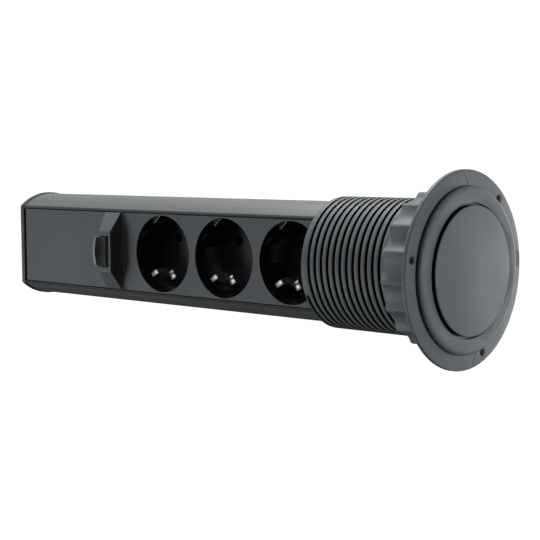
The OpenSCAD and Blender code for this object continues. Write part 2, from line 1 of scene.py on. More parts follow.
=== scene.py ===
# %% [markdown]
# # Pop-up desk socket
# A round tower with three earthed plug wells slides up through a flanged, threaded sleeve that a
# lobed nut clamps in a desk top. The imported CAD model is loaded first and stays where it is, so
# every piece made here has its place in the same frame: +Z up along the tower, sockets towards -Y,
# origin in the middle of the flange's underside. Sizes are in millimetres, times MM.

# %% Load the frame
import json
import math

import bmesh
import bpy
from mathutils import Matrix, Vector

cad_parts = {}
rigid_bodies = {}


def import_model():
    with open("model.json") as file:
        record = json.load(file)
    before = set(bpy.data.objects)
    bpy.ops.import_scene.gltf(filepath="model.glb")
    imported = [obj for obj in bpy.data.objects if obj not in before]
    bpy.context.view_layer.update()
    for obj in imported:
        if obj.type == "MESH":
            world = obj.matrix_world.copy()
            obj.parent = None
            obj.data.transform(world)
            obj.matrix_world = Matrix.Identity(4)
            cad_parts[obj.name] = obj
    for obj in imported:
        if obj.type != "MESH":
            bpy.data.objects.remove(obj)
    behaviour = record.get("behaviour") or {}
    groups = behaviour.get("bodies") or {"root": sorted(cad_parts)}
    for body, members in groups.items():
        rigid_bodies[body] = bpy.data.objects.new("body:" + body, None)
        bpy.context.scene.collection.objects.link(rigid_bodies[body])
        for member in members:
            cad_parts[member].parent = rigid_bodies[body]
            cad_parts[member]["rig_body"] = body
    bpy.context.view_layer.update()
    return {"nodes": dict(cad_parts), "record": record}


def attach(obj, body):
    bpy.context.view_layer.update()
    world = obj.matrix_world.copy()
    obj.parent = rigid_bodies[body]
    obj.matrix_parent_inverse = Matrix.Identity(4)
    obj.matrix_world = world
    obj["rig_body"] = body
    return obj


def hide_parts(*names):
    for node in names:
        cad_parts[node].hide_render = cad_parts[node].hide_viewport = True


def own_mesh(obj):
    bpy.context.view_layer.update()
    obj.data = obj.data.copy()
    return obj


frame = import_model()
MM = 0.001
scene = bpy.context.scene
for plain in list(bpy.data.materials):
    bpy.data.materials.remove(plain)

# %% [markdown]
# ## Camera
# The photograph lays the socket on its side and looks at it from above the lid, a little towards
# the front. A camera could be aimed with a Track To constraint, but the roll matters here, so its
# three directions are written as the columns of one matrix: right, up and backwards.

# %% Camera
LOOK_RIGHT = (0.00505, 0.67533, 0.73749)
LOOK_UP = (-0.99593, 0.06974, -0.05704)
LOOK_BACK = (-0.08996, -0.73421, 0.67294)
EYE = Vector((-51.342, -470.572, 317.872)) * MM
SENSOR_WIDTH, FOCAL_LENGTH = 36, 86.37
lens = bpy.data.cameras.new("camera")
lens.sensor_width = SENSOR_WIDTH
lens.lens = FOCAL_LENGTH
camera = bpy.data.objects.new("camera", lens)
turned = Matrix((LOOK_RIGHT, LOOK_UP, LOOK_BACK)).transposed().to_4x4()
camera.matrix_world = Matrix.Translation(EYE) @ turned
scene.collection.objects.link(camera)
scene.camera = camera
scene.view_settings.view_transform = "Standard"
print("camera at", [round(x, 3) for x in camera.location])

# %% [markdown]
# ## Node tools
# Shaders are built from nodes, and a script that adds them one by one soon hides what they do. These
# few functions each add one node and hand on its output. A value may be a number, a colour or the
# output of another node, so the same call serves for a constant and for a link.

# %% Node tools
MIX_FACTOR, MIX_FIRST, MIX_SECOND, MIX_RESULT = 0, 6, 7, 2


def feed(tree, socket, value):
    """Gives a socket its value: a link from another node, or a constant."""
    if isinstance(value, bpy.types.NodeSocket):
        tree.links.new(value, socket)
    else:
        socket.default_value = value


def add_math(tree, operation, first, second):
    """A value worked out from two others, such as their product or the larger of them."""
    node = tree.nodes.new("ShaderNodeMath")
    node.operation = operation
    for socket, value in zip(node.inputs, (first, second)):
        feed(tree, socket, value)
    return node.outputs[0]


def add_noise(tree, place, scale, detail):
    """A noise over the given coordinates."""
    noise = tree.nodes.new("ShaderNodeTexNoise")
    for label, value in (("Vector", place), ("Scale", scale), ("Detail", detail)):
        feed(tree, noise.inputs[label], value)
    return noise.outputs["Fac"]


def add_range(tree, value, low, high, to_low, to_high):
    """Maps a value from one range to another and stops at the ends."""
    spread = tree.nodes.new("ShaderNodeMapRange")
    labels = ("Value", "From Min", "From Max", "To Min", "To Max")
    for label, end in zip(labels, (value, low, high, to_low, to_high)):
        feed(tree, spread.inputs[label], end)
    return spread.outputs["Result"]


def add_tint(tree, colour, factor, blend, second):
    """Mixes a second colour into the first one by a factor."""
    mix = tree.nodes.new("ShaderNodeMix")
    mix.data_type = "RGBA"
    mix.blend_type = blend
    for k, value in ((MIX_FACTOR, factor), (MIX_FIRST, colour), (MIX_SECOND, second)):
        feed(tree, mix.inputs[k], value)
    return mix.outputs[MIX_RESULT]


def add_choice(tree, mask, usual, direct):
    """One shader where the mask is zero and another one where it is one."""
    either = tree.nodes.new("ShaderNodeMixShader")
    for socket, source in zip(either.inputs, (mask, usual, direct)):
        tree.links.new(source, socket)
    return either.outputs[0]


def empty_tree(owner):
    """The node tree of a world or a material, cleared."""
    owner.use_nodes = True
    owner.node_tree.nodes.clear()
    return owner.node_tree


print("node tools ready")

# %% [markdown]
# ## Stage
# A white sweep: a pale floor well below the part, as under a desk, and a world that is white where
# the camera, a gloss or a clear surface looks at it and a quiet light elsewhere. It could be one large
# white room, but then no side of the part would be dark.

# %% World and floor
FLOOR_Z = -1100 * MM
FLOOR_HALF = 12.0
GLOSS_SHARE = 0.16
WHITE = (1, 1, 1, 1)
QUIET_COLOUR, QUIET_LEVEL = (0.95, 0.98, 1.0, 1), 0.015
PAPER_COLOUR, PAPER_GLOW, PAPER_SHARE = (0.86, 0.86, 0.86, 1), 1.1, 0.93


def seen_directly(tree):
    """A mask: one for what the camera or a clear surface looks at, less for a gloss, else zero."""
    rays = tree.nodes.new("ShaderNodeLightPath").outputs
    gloss = add_math(tree, "MULTIPLY", rays["Is Glossy Ray"], GLOSS_SHARE)
    shown = add_math(tree, "MAXIMUM", rays["Is Camera Ray"], gloss)
    return add_math(tree, "MAXIMUM", shown, rays["Is Transmission Ray"])


def add_background(tree, colour, level):
    """A plain light from all round."""
    background = tree.nodes.new("ShaderNodeBackground")
    background.inputs["Color"].default_value = colour
    background.inputs["Strength"].default_value = level
    return background.outputs[0]


world = bpy.data.worlds.new("white_sweep")
tree = empty_tree(world)
sky = add_choice(tree, seen_directly(tree), add_background(tree, QUIET_COLOUR, QUIET_LEVEL),
                 add_background(tree, WHITE, 1.0))
tree.links.new(sky, tree.nodes.new("ShaderNodeOutputWorld").inputs["Surface"])
scene.world = world

paper = bpy.data.materials.new("floor_paper")
tree = empty_tree(paper)
matt = tree.nodes.new("ShaderNodeBsdfDiffuse")
matt.inputs["Color"].default_value = PAPER_COLOUR
bright = tree.nodes.new("ShaderNodeEmission")
bright.inputs["Strength"].default_value = PAPER_GLOW
share = add_math(tree, "MULTIPLY", seen_directly(tree), PAPER_SHARE)
floor_look = add_choice(tree, share, matt.outputs[0], bright.outputs[0])
tree.links.new(floor_look, tree.nodes.new("ShaderNodeOutputMaterial").inputs["Surface"])


def stage_sheet(name, half_u, half_v, place, material):
    """A flat sheet of the studio, placed by a matrix."""
    bm = bmesh.new()
    bmesh.ops.create_grid(bm, x_segments=1, y_segments=1, size=1)
    bmesh.ops.scale(bm, vec=(half_u, half_v, 1), verts=bm.verts)
    bmesh.ops.transform(bm, matrix=place, verts=bm.verts)
    mesh = bpy.data.meshes.new(name)
    bm.to_mesh(mesh)
    bm.free()
    mesh.materials.append(material)
    sheet = bpy.data.objects.new(name, mesh)
    scene.collection.objects.link(sheet)
    return sheet


stage_sheet("floor", FLOOR_HALF, FLOOR_HALF, Matrix.Translation((0, 0, FLOOR_Z)), paper)
print("floor at", FLOOR_Z)

# %% [markdown]
# The lamps are soft boxes. Two light the front from beyond the tower's foot, so that the catch housing
# throws its shadow towards the wells, and a faint one fills the front. One stands close beside the
# tower, a little behind its front and towards the foot, so that the housing's wall on the lid's side
# stays dark. One faces the lid, so the flange shades the tower behind it, and two stand at the back. A
# dark card at the far side, unseen by the camera, keeps that side deep.

# %% Lamps and card
LIT_POINT = Vector((0, 0, -110 * MM))
CARD_AT = Vector((150, 120, -190)) * MM
CARD_FACING = Vector((-0.75, -0.55, 0.3))
CARD_HALF = (0.16, 0.30)
CARD_BLACK = (0.01, 0.01, 0.01, 1)
# Each lamp has a name, a direction from the part, a distance, a width, a height and a level.
LAMPS = (("foot_box", (-0.45, -0.50, -0.75), 1.1, 0.5, 0.5, 0.21),
         ("front_box", (0.40, -0.64, -0.66), 1.3, 0.4, 0.4, 0.35),
         ("brow_box", (-0.41, -0.90, -0.07), 1.2, 0.3, 0.3, 0.05),
         ("side_box", (-1.00, 0.18, -0.20), 0.55, 0.10, 0.16, 1.30),
         ("lid_box", (0.00, 0.09, 1.00), 1.4, 0.2, 0.2, 0.47),
         ("slant_box", (0.10, 0.95, 0.30), 1.4, 0.5, 0.5, 0.20),
         ("back_box", (0.00, 1.00, 0.10), 1.5, 0.8, 0.8, 0.40))


def soft_box(name, towards, distance, width, height, level):
    """An area lamp that gives about this level on a surface that faces it."""
    lamp = bpy.data.lights.new(name, "AREA")
    lamp.shape = "RECTANGLE"
    lamp.size = width
    lamp.size_y = height
    lamp.energy = level * math.pi ** 2 * distance ** 2
    box = bpy.data.objects.new(name, lamp)
    direction = Vector(towards).normalized()
    box.location = LIT_POINT + direction * distance
    box.rotation_mode = "QUATERNION"
    box.rotation_quaternion = direction.to_track_quat("Z", "Y")
    scene.collection.objects.link(box)


for lamp_values in LAMPS:
    soft_box(*lamp_values)

dark = bpy.data.materials.new("dark_card")
dark.use_nodes = True
card_shader = dark.node_tree.nodes["Principled BSDF"]
card_shader.inputs["Base Color"].default_value = CARD_BLACK
card_shader.inputs["Specular IOR Level"].default_value = 0.0
card_turn = CARD_FACING.normalized().to_track_quat("Z", "Y").to_matrix().to_4x4()
card = stage_sheet("shade_card", *CARD_HALF, Matrix.Translation(CARD_AT) @ card_turn, dark)
card.visible_camera = False
card.visible_shadow = False

# %% [markdown]
# ## Shared effects
# Three things happen on more than one finish: the fine grain that a mould leaves on plastic, the
# lines that drawing or extruding leaves along metal, and a few pale specks of painted sparkle, glints
# painted into the colour. Each is a shader node group with its own inputs, built once and placed
# where it is needed. Groups hand on colours and values only; the shader itself stays in each material.

# %% Mould grain
COLOUR = "NodeSocketColor"
VALUE = "NodeSocketFloat"
BASE_GREY = (0.1, 0.1, 0.1, 1)
NOISE_SPREAD = (0.3, 0.7)
FLOW_SCALE, FLOW_TINT = 38.0, (0.7, 0.72, 0.74, 1)
PIT_SPREAD, PIT_TINT = (0.55, 0.75), (0.55, 0.55, 0.55, 1)


def effect_group(name, inputs, outputs):
    """An empty effect with a colour and named values: (group, its inputs, its outputs)."""
    group = bpy.data.node_groups.new(name, "ShaderNodeTree")
    colour = group.interface.new_socket(name="Colour", in_out="INPUT", socket_type=COLOUR)
    colour.default_value = BASE_GREY
    for label, value in inputs.items():
        socket = group.interface.new_socket(name=label, in_out="INPUT", socket_type=VALUE)
        socket.default_value = value
    for label, kind in outputs:
        group.interface.new_socket(name=label, in_out="OUTPUT", socket_type=kind)
    return group, group.nodes.new("NodeGroupInput").outputs, group.nodes.new("NodeGroupOutput").inputs


def object_place(group):
    """Coordinates on the object, from a node of the group."""
    return group.nodes.new("ShaderNodeTexCoord").outputs["Object"]


SURFACE_OUTPUTS = (("Colour", COLOUR), ("Roughness", VALUE), ("Height", VALUE))
mould_grain, given, handed_on = effect_group(
    "mould_grain", {"Grain Scale": 2500.0, "Shade": 0.2, "Smooth": 0.4, "Rough": 0.55}, SURFACE_OUTPUTS)
place = object_place(mould_grain)
pits = add_noise(mould_grain, place, given["Grain Scale"], 2)
flow = add_noise(mould_grain, place, FLOW_SCALE, 3)
flow_shade = add_range(mould_grain, flow, *NOISE_SPREAD, 0.0, given["Shade"])
shaded = add_tint(mould_grain, given["Colour"], flow_shade, "MULTIPLY", FLOW_TINT)
pit_shade = add_range(mould_grain, pits, *PIT_SPREAD, 0.0, given["Shade"])
grained = add_tint(mould_grain, shaded, pit_shade, "MULTIPLY", PIT_TINT)
rough = add_range(mould_grain, flow, *NOISE_SPREAD, given["Smooth"], given["Rough"])
for label, result in (("Colour", grained), ("Roughness", rough), ("Height", pits)):
    mould_grain.links.new(result, handed_on[label])
print("effect", mould_grain.name)

# %% Drawn lines
LINE_STRETCH = (1.0, 1.0, 0.012)
LINE_SPREAD, LINE_TINT = (0.35, 0.7), (0.7, 0.7, 0.7, 1)
drawn_lines, given, handed_on = effect_group(
    "drawn_lines", {"Line Scale": 900.0, "Shade": 0.3, "Smooth": 0.25, "Rough": 0.4}, SURFACE_OUTPUTS)
stretch = drawn_lines.nodes.new("ShaderNodeMapping")
stretch.inputs["Scale"].default_value = LINE_STRETCH
drawn_lines.links.new(object_place(drawn_lines), stretch.inputs["Vector"])
streaks = add_noise(drawn_lines, stretch.outputs[0], given["Line Scale"], 3)
streak_shade = add_range(drawn_lines, streaks, *LINE_SPREAD, 0.0, given["Shade"])
lined = add_tint(drawn_lines, given["Colour"], streak_shade, "MULTIPLY", LINE_TINT)
rough = add_range(drawn_lines, streaks, *NOISE_SPREAD, given["Smooth"], given["Rough"])
for label, result in (("Colour", lined), ("Roughness", rough), ("Height", streaks)):
    drawn_lines.links.new(result, handed_on[label])
print("effect", drawn_lines.name)

# %% Painted sparkle
# Pale specks mixed into the colour are painted sparkle: glints that show under any lamp.
SPARKLE_COLOUR = (0.75, 0.77, 0.78, 1)
PATCH_SCALE, PATCH_SPREAD = 160.0, (0.5, 0.62)
painted_sparkle, given, handed_on = effect_group(
    "painted_sparkle", {"Speck Scale": 900.0, "Size": 0.1, "Strength": 0.3}, (("Colour", COLOUR),))
place = object_place(painted_sparkle)
cells = painted_sparkle.nodes.new("ShaderNodeTexVoronoi")
painted_sparkle.links.new(place, cells.inputs["Vector"])
painted_sparkle.links.new(given["Speck Scale"], cells.inputs["Scale"])
speck = add_range(painted_sparkle, cells.outputs["Distance"], 0.0, given["Size"], given["Strength"], 0.0)
patches = add_noise(painted_sparkle, place, PATCH_SCALE, 2)
few = add_range(painted_sparkle, patches, *PATCH_SPREAD, 0.0, 1.0)
both = add_math(painted_sparkle, "MULTIPLY", speck, few)
sparkled = add_tint(painted_sparkle, given["Colour"], both, "MIX", SPARKLE_COLOUR)
painted_sparkle.links.new(sparkled, handed_on["Colour"])
print("effects", [g.name for g in bpy.data.node_groups])

# %% [markdown]
# ## Finishes
# The flange, nut and cap are the same grey plastic with a fine matt grain. The front panels and the
# button are darker plastics, the foot's cap is that grey plastic made darker as painted shade, the
# wells are smooth black plastic, and the shell is a dark anodised aluminium section whose drawing
# lines run along the tower. A few finishes are for small places only: painted shade in grooves and
# gaps, a dull, darker finish on the shell's front lips that paints in their shade, and painted
# highlights on the ledges' rims and on the catch lip. Colours are written as the values seen in a
# picture and turned to linear light here.

# %% Finish tools
BUMP_DEPTH = 0.05 * MM


def seen(red, green, blue):
    """A colour as read in a picture, from 0 to 255, as linear light."""
    def linear(c):
        c = c / 255
        return c / 12.92 if c <= 0.04045 else ((c + 0.055) / 1.055) ** 2.4
    return (linear(red), linear(green), linear(blue), 1)


def finish_material(name, colour, effect, settings, bump, specks=0.0, metallic=0.0, specular=0.5):
    """A finish: one effect group, painted sparkle where asked for, and a bump from the effect's height.
    """
    material = bpy.data.materials.new(name)
    material.use_nodes = True
    tree = material.node_tree
    shader = tree.nodes["Principled BSDF"]
    shader.inputs["Metallic"].default_value = metallic
    shader.inputs["Specular IOR Level"].default_value = specular
    surface = tree.nodes.new("ShaderNodeGroup")
    surface.node_tree = effect
    surface.inputs["Colour"].default_value = colour
    for label, value in settings.items():
        surface.inputs[label].default_value = value
    tint = surface.outputs["Colour"]
    if specks:
        sparkle = tree.nodes.new("ShaderNodeGroup")
        sparkle.node_tree = painted_sparkle
        sparkle.inputs["Strength"].default_value = specks
        tree.links.new(tint, sparkle.inputs["Colour"])
        tint = sparkle.outputs["Colour"]
    tree.links.new(tint, shader.inputs["Base Color"])
    tree.links.new(surface.outputs["Roughness"], shader.inputs["Roughness"])
    relief = tree.nodes.new("ShaderNodeBump")
    relief.inputs["Strength"].default_value = bump
    relief.inputs["Distance"].default_value = BUMP_DEPTH
    tree.links.new(surface.outputs["Height"], relief.inputs["Height"])
    tree.links.new(relief.outputs["Normal"], shader.inputs["Normal"])
    return material


def plastic(name, colour, grain, shade, smooth, rough, bump, specks=0.0, specular=0.5):
    """A moulded finish."""
    settings = {"Grain Scale": grain, "Shade": shade, "Smooth": smooth, "Rough": rough}
    return finish_material(name, colour, mould_grain, settings, bump, specks, specular=specular)


def metal(name, colour, lines, shade, smooth, rough, bump, specks=0.0, metallic=1.0, specular=0.5):
    """A drawn or extruded finish."""
    settings = {"Line Scale": lines, "Shade": shade, "Smooth": smooth, "Rough": rough}
    return finish_material(name, colour, drawn_lines, settings, bump, specks, metallic, specular)


print("finish tools ready")

# %% Materials
# After the colour come the scale of grain or lines, their shade, least and most roughness, and bump.
grey_plastic = plastic("grey_plastic", seen(104, 110, 113), 2600, 0.22, 0.5, 0.62, 0.35,
                       specks=0.35, specular=0.3)
panel_plastic = plastic("panel_plastic", seen(90, 95, 99), 3000, 0.18, 0.48, 0.6, 0.3,
                        specks=0.1, specular=0.25)
well_plastic = plastic("well_plastic", seen(34, 40, 47), 1500, 0.3, 0.3, 0.42, 0.15, specular=0.3)
bush_rubber = plastic("bush_rubber", seen(30, 31, 33), 1800, 0.3, 0.6, 0.75, 0.4,
                      specks=0.2, specular=0.2)
shell_metal = metal("shell_metal", seen(110, 114, 114), 700, 0.16, 0.38, 0.5, 0.15,
                    specks=0.1, metallic=0.25, specular=0.35)
clip_metal = metal("clip_metal", seen(222, 221, 216), 2500, 0.2, 0.26, 0.36, 0.2)
bar_metal = metal("bar_metal", seen(92, 78, 52), 2000, 0.35, 0.4, 0.6, 0.2)
screw_metal = metal("screw_metal", seen(188, 189, 190), 2200, 0.3, 0.26, 0.42, 0.2)
# The groove finish below is painted shade, for grooves, seams, gaps, hole walls, the lid's side, the
# foot's inside and the ledges' tops.
groove_shade = plastic("groove_shade", seen(22, 23, 25), 1800, 0.3, 0.6, 0.75, 0.3, specular=0.1)
# The lip finish below is the shell's metal made darker and dull: painted shade on the rounded lips.
lip_painted_shade = metal("lip_painted_shade", seen(66, 69, 70), 700, 0.16, 0.6, 0.72, 0.15,
                 metallic=0.0, specular=0.12)
# The rim finish below is the wells' plastic made paler: a painted highlight on the ledges' rims.
rim_painted_highlight = plastic("rim_painted_highlight", seen(150, 154, 154), 1500, 0.3, 0.3, 0.42, 0.15, specular=0.4)
button_plastic = plastic("button_plastic", seen(94, 99, 101), 3000, 0.18, 0.5, 0.62, 0.3,
                         specular=0.2)
# The catch lip's finish below is the button's plastic made paler: a painted highlight.
lip_painted_highlight = plastic("lip_painted_highlight", seen(140, 145, 146), 3000, 0.18, 0.45, 0.55, 0.3, specular=0.3)
# The foot's finish below is the grey plastic made darker: painted shade.
foot_painted_shade = plastic("foot_painted_shade", seen(80, 84, 85), 2600, 0.22, 0.5, 0.62, 0.35,
                       specks=0.2, specular=0.25)
FINISHES = {m.name: m for m in (grey_plastic, panel_plastic, well_plastic, bush_rubber, shell_metal,
                                clip_metal, bar_metal, screw_metal)}
print("finishes", sorted(FINISHES))

# %% Finish of every CAD node
node_slot = {part["node"]: part["material_slot"] for part in frame["record"]["subparts"]}
for node, solid in frame["nodes"].items():
    solid.data.materials.clear()
    solid.data.materials.append(FINISHES[node_slot[node]])
print("nodes with a finish", len(node_slot))

# %% [markdown]
# ## Helpers for pieces
# Most pieces here are either turned, as on a lathe, or are a CAD solid whose knife edges need the
# small radius that a mould or a die leaves. A turned piece is a section of a few points, spun round
# the axis. A softened piece is a copy of the CAD mesh, merged into a closed surface and bevelled
# along the edges that are sharper than a given angle.

# %% Helpers for turned pieces
FULL_TURN = 2 * math.pi
WELD = 0.001 * MM
SHARP_ANGLE = 32


def rounded_corner(r, z, side_r, side_z, steps):
    """A section's rounded corner: points at small steps from it, towards the given sides."""
    return [(r + side_r * along, z + side_z * up) for along, up in steps]


def add_section(bm, points, closed=False):
    """A section of (radius, height) points in the plane y = 0: its vertices and edges."""
    corners = [bm.verts.new((r * MM, 0, z * MM)) for r, z in points]
    sides = [bm.edges.new(pair) for pair in zip(corners, corners[1:])]
    if closed:
        sides.append(bm.edges.new((corners[-1], corners[0])))
    return corners + sides


def turn_section(bm, points, steps, closed=False):
    """Spins a section once round the axis and closes its seam."""
    bmesh.ops.spin(bm, geom=add_section(bm, points, closed), axis=(0, 0, 1), cent=(0, 0, 0),
                   dvec=(0, 0, 0), angle=FULL_TURN, steps=steps, use_merge=True)
    bmesh.ops.remove_doubles(bm, verts=bm.verts, dist=WELD)
    bmesh.ops.recalc_face_normals(bm, faces=bm.faces)


def make_object(bm, name, materials, sharp=SHARP_ANGLE):
    """Turns a bmesh into an object with soft shading up to the given edge angle."""
    mesh = bpy.data.meshes.new(name)
    bm.to_mesh(mesh)
    bm.free()
    for material in materials:
        mesh.materials.append(material)
    mesh.polygons.foreach_set("use_smooth", [True] * len(mesh.polygons))
    mesh.set_sharp_from_angle(angle=math.radians(sharp))
    piece = bpy.data.objects.new(name, mesh)
    scene.collection.objects.link(piece)
    return piece


def keep_flats(piece):
    """Keeps the shading of wide flat faces even up to the small rounds beside them."""
    even = piece.modifiers.new("even_flats", "WEIGHTED_NORMAL")
    even.keep_sharp = True
    return piece


def fit_piece(piece, node):
    """Lets a piece stand for a CAD node: same body, and the node hidden."""
    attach(piece, frame["nodes"][node]["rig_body"])
    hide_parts(node)
    print(piece.name, "faces", len(piece.data.polygons), "for", node)
    return piece


print("shading is soft up to", SHARP_ANGLE, "degrees")

# %% Helpers for softened pieces
FLAT_ANGLE = 0.5
# A face is side-on or square-on to an axis by the part of its normal along that axis.
SIDE_ON, SQUARE_ON = 0.3, 0.9


def merged_copy(node):
    """A copy of a CAD node's mesh as one closed surface with its flat faces joined."""
    bm = bmesh.new()
    bm.from_mesh(frame["nodes"][node].data)
    bmesh.ops.remove_doubles(bm, verts=bm.verts, dist=WELD)
    bmesh.ops.dissolve_limit(bm, angle_limit=math.radians(FLAT_ANGLE), verts=bm.verts, edges=bm.edges,
                             use_dissolve_boundaries=False)
    return bm


def soften(bm, width, segments=2, chosen=None):
    """Rounds the outer corners that are sharp, or the chosen ones of them."""
    outer = [e for e in bm.edges if e.is_manifold and e.is_convex]
    hard = [e for e in outer if e.calc_face_angle() > math.radians(SHARP_ANGLE)]
    if chosen:
        hard = [e for e in hard if chosen(e)]
    bmesh.ops.bevel(bm, geom=hard, offset=width * MM, offset_type="OFFSET", affect="EDGES",
                    segments=segments, profile=0.5, material=-1, clamp_overlap=False)
    bmesh.ops.recalc_face_normals(bm, faces=bm.faces)


def slice_mesh(bm, at, normal, drop=False):
    """Cuts a mesh along a plane at a point in millimetres and drops what lies beyond where asked."""
    bmesh.ops.bisect_plane(bm, geom=bm.verts[:] + bm.edges[:] + bm.faces[:], dist=WELD / 10,
                           plane_co=Vector(at) * MM, plane_no=normal, clear_outer=drop)


def finish_faces(bm, test, finish=1):
    """Gives a further finish to the faces whose middle and normal pass a test, and counts them."""
    found = [f for f in bm.faces if test(f.calc_center_median() / MM, f.normal)]
    for face in found:
        face.material_index = finish
    return len(found)


def open_edges(bm):
    """How many edges don't join exactly two faces."""
    return sum(not e.is_manifold for e in bm.edges)


def middle(edge):
    """Midpoint of an edge, in millimetres."""
    return (edge.verts[0].co + edge.verts[1].co) / 2 / MM


def radius_of(point):
    """Distance of a point from the tower's axis, in its own unit."""
    return math.hypot(point.x, point.y)


def near(value, target, room=0.03):
    """Whether a value lies within a little room of another."""
    return abs(value - target) < room


def at_depth(edge, depth):
    """Whether an edge lies at one depth from front to back."""
    return all(near(v.co.y / MM, depth) for v in edge.verts)


print("edges over", SHARP_ANGLE, "degrees are softened")

# %% [markdown]
# ## Threaded sleeve and flange
# The sleeve's thread is a right-handed helix with two starts, moulded in one with the desk flange.
# Ring grooves would look alike from afar but end wrongly at the foot, where a real groove runs out.
# So the section of the ribs is spun once while it climbs by the thread's lead, the two ends are cut
# square, and a turned section of flange and bore closes the body. The grooves get a darker finish:
# painted shade for the shade they hold.

# %% Sleeve: the thread
BORE_R, ROOT_R, CREST_R = 28.9, 29.95, 31.0
SLEEVE_LEN = 66.0
PITCH = 3.62
LEAD = 2 * PITCH
FRONT_GROOVE_Z = -61.5
LAST_GROOVE_Z = -64.6
GROOVES_BELOW = 5
COLLAR_Z = -2.2
COLLAR_R = 31.4
TURN_STEPS = 144
RIB_SECTION = ((-0.92, CREST_R), (-0.80, CREST_R - 0.05), (-0.71, CREST_R - 0.2), (-0.50, ROOT_R),
               (0.50, ROOT_R), (0.71, CREST_R - 0.2), (0.80, CREST_R - 0.05), (0.92, CREST_R))
bm = bmesh.new()
groove_z = FRONT_GROOVE_Z + LEAD / 4 - GROOVES_BELOW * PITCH
section = []
while groove_z < PITCH:
    section += [(r, groove_z + dz) for dz, r in RIB_SECTION]
    groove_z += PITCH
bmesh.ops.spin(bm, geom=add_section(bm, section), axis=(0, 0, 1), cent=(0, 0, 0), angle=FULL_TURN,
               dvec=(0, 0, LEAD * MM / TURN_STEPS), steps=TURN_STEPS, use_merge=False)
bmesh.ops.remove_doubles(bm, verts=bm.verts, dist=WELD)
for vert in bm.verts:
    climbed = math.atan2(vert.co.y, vert.co.x) % FULL_TURN / FULL_TURN * LEAD
    groove = round((vert.co.z / MM - climbed - groove_z) / PITCH) * PITCH + groove_z + climbed
    if groove < LAST_GROOVE_Z:
        outward = CREST_R * MM / radius_of(vert.co)
        vert.co.x *= outward
        vert.co.y *= outward
for height, side in ((-SLEEVE_LEN, -1), (COLLAR_Z, 1)):
    slice_mesh(bm, (0, 0, height), (0, 0, side), drop=True)
print("thread faces", len(bm.faces))

# %% Sleeve: flange and bore
FLANGE_R, FLANGE_T = 44.0, 2.0
COLLAR_EDGE, FOOT_EDGE = 0.3, 0.4
# Each round is a row of steps from its corner, along the radius and along the height.
UNDER_ROUND = ((0.4, 0), (0.1, 0.12), (0, 0.4))
TOP_ROUND = ((0, 0.6), (0.07, 0.32), (0.27, 0.1), (0.6, 0))
THROAT_ROUND = ((0.5, 0), (0.15, 0.12), (0, 0.5))
turn_section(bm, [(COLLAR_R, COLLAR_Z), (COLLAR_R, -COLLAR_EDGE), (COLLAR_R + COLLAR_EDGE, 0),
                  *rounded_corner(FLANGE_R, 0, -1, 1, UNDER_ROUND),
                  *rounded_corner(FLANGE_R, FLANGE_T, -1, -1, TOP_ROUND),
                  *rounded_corner(BORE_R, FLANGE_T, 1, -1, THROAT_ROUND),
                  (BORE_R, FOOT_EDGE - SLEEVE_LEN), (BORE_R + FOOT_EDGE, -SLEEVE_LEN)], TURN_STEPS)
for height in (-SLEEVE_LEN, COLLAR_Z):
    rims = [e for e in bm.edges if e.is_boundary
            and all(abs(v.co.z - height * MM) < 2 * WELD for v in e.verts)]
    bmesh.ops.triangle_fill(bm, edges=rims, use_beauty=True, use_dissolve=False, normal=(0, 0, -1))
bmesh.ops.recalc_face_normals(bm, faces=bm.faces)


def in_groove(at, normal):
    """Whether a face is the floor or a side of the thread's groove."""
    between = -SLEEVE_LEN + 0.01 < at.z < COLLAR_Z - 0.01
    return between and ROOT_R - 0.1 < radius_of(at) < CREST_R - 0.25


print("groove faces", finish_faces(bm, in_groove), "open edges", open_edges(bm))
sleeve = make_object(bm, "threaded_sleeve", [grey_plastic, groove_shade])

# %% [markdown]
# The three screw holes, the catch lip's way up the bore and the hairlines where plastic met in the
# mould are cut with Booleans, since they cross the turned rings. The cutters are drills with a small
# countersink, a slab bent to the bore, and thin ribbons given a thickness. The drills stop a thin skin
# short of the flange's underside, and the walls and skins of the holes get painted shade.

# %% Sleeve: cutters for holes and hairlines
HOLE_PCD_R = 39.75
HOLE_TURNS = (20, 140, 260)
HOLE_R = 1.9
HOLE_SKIN = 0.25
HOLE_STEPS = 40
SINK_LOW_R, SINK_HIGH_R, SINK_DEEP = HOLE_R - 0.35, HOLE_R + 0.65, 1.0
LINE_DEEP, LINE_RISE, LINE_WIDE = 0.22, 0.6, 0.26
# Each hairline is a row of points with a radius and a turn about the axis in degrees.
HAIRLINES = (((42.4, -177.3), (41.0, -178.9), (39.3, -180.9), (37.7, -182.3)),
             ((40.9, 100.3), (42.5, 97.5), (43.0, 94.3), (42.6, 91.6), (41.3, 89.4)),
             ((37.7, 13.1), (39.2, 11.8), (40.9, 9.9), (42.4, 8.1)),
             ((44.3, -40.6), (43.4, -39.6)))


def on_flange(r, turn, z):
    """A point at a radius and a turn about the axis, in metres."""
    a = math.radians(turn)
    return Vector((r * math.cos(a), r * math.sin(a), z)) * MM


def add_cone(bm, low_r, high_r, depth, middle_at, steps):
    """A closed cone or cylinder along the axis, its sizes in millimetres, its middle in metres."""
    bmesh.ops.create_cone(bm, cap_ends=True, segments=steps, radius1=low_r * MM, radius2=high_r * MM,
                          depth=depth * MM, matrix=Matrix.Translation(middle_at))


